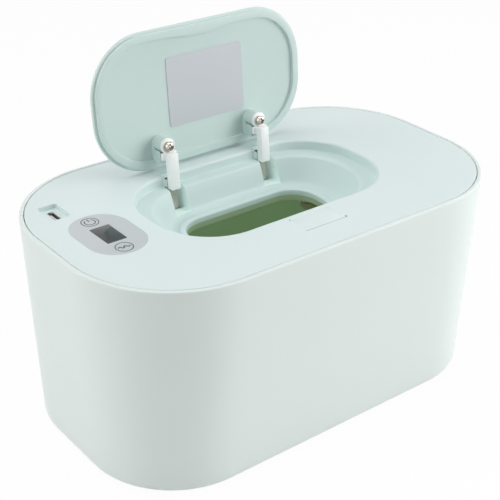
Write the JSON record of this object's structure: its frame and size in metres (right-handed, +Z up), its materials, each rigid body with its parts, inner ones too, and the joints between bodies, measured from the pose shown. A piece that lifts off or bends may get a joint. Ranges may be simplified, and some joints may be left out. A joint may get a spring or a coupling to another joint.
{
  "type": "baby wipe warmer",
  "caption": "Deep rounded mint tub with a flush lift-off heated cover, bowl-shaped dispensing opening, sprung flip lid on slim arms, release button, touch panel and USB socket.",
  "frame": {"origin": "middle of the footprint on the table, on the plane of the feet's undersides", "axes": "+X towards the right end with the control panel at the left end, +Y towards the lid's hinge, +Z up"},
  "size_m": [0.22, 0.1328, 0.1705],
  "materials": {
    "mint_shell": "fine satin moulded plastic, pale mint",
    "mint_lid": "satin moulded plastic, pale mint",
    "white_plastic": "satin moulded plastic, white",
    "panel_grey": "smooth printed overlay, light grey",
    "label_grey": "bare printed film, grey",
    "smoked_lens": "dark smoked plastic",
    "black_plastic": "dull black",
    "foot_rubber": "matt rubber",
    "silicone": "matt silicone",
    "foam": "closed-cell foam sheet",
    "amber_film": "polyimide film",
    "heater_aluminium": "rolled sheet",
    "cutout_metal": "dull brown metal",
    "zinc_steel": "zinc-plated steel",
    "arm_steel": "bent steel",
    "screw_chrome": "bright plated",
    "board_laminate": "green solder mask",
    "red_lead": "soft insulation",
    "white_lead": "soft insulation"
  },
  "bodies": {
    "tub": {"tub_shell": "mint_shell", "rubber_feet": "foot_rubber"},
    "cover": {"top_cover": "mint_shell", "cover_base": "white_plastic", "cover_screws": "zinc_steel", "cover_seal": "silicone", "insulation_pad": "foam", "heating_film": "amber_film", "heater_plate": "heater_aluminium", "heater_screws": "zinc_steel", "thermal_cutout": "cutout_metal", "thermistor": "black_plastic", "control_board": "board_laminate", "display_module": "black_plastic", "display_lens": "smoked_lens", "control_panel": "panel_grey", "touch_springs": "zinc_steel", "usb_socket": "zinc_steel", "usb_board": "board_laminate", "board_screws": "zinc_steel", "supply_leads": "red_lead", "heater_leads": "white_lead", "latch_retainer": "white_plastic", "latch_spring": "zinc_steel", "hinge_pins": "zinc_steel", "hinge_springs": "zinc_steel"},
    "lid": {"flip_lid": "mint_lid", "lid_plate": "label_grey", "hinge_arm_left": "arm_steel", "hinge_arm_right": "arm_steel", "arm_sleeve_left": "white_plastic", "arm_sleeve_right": "white_plastic", "arm_screws": "screw_chrome"},
    "button": {"release_button": "mint_shell"},
    "latch": {"latch_bolt": "white_plastic"}
  },
  "joints": [
    {"name": "cover_lift", "type": "slide", "parent": "tub", "child": "cover", "axis": [0, 0, 1], "range_m": [0, 0.045]},
    {"name": "lid_hinge", "type": "hinge", "parent": "cover", "child": "lid", "pos_m": [0, 0.0389, 0.0998], "axis": [1, 0, 0], "range_deg": [0, 95.4], "stiffness_Nm_per_rad": 0.009, "springref_deg": -28.65, "deforming": ["hinge_springs"]},
    {"name": "button_press", "type": "slide", "parent": "cover", "child": "button", "axis": [0, 0, -1], "range_m": [0, 0.0012], "stiffness_N_per_m": 150, "springref_m": -0.002},
    {"name": "latch_slide", "type": "slide", "parent": "cover", "child": "latch", "axis": [0, -1, 0], "range_m": [0, 0.0012], "stiffness_N_per_m": 150, "springref_m": -0.002, "deforming": ["latch_spring"]}
  ],
  "couplings": [
    {"joint": "latch_slide", "follows": "button_press", "ratio": 1}
  ]
}
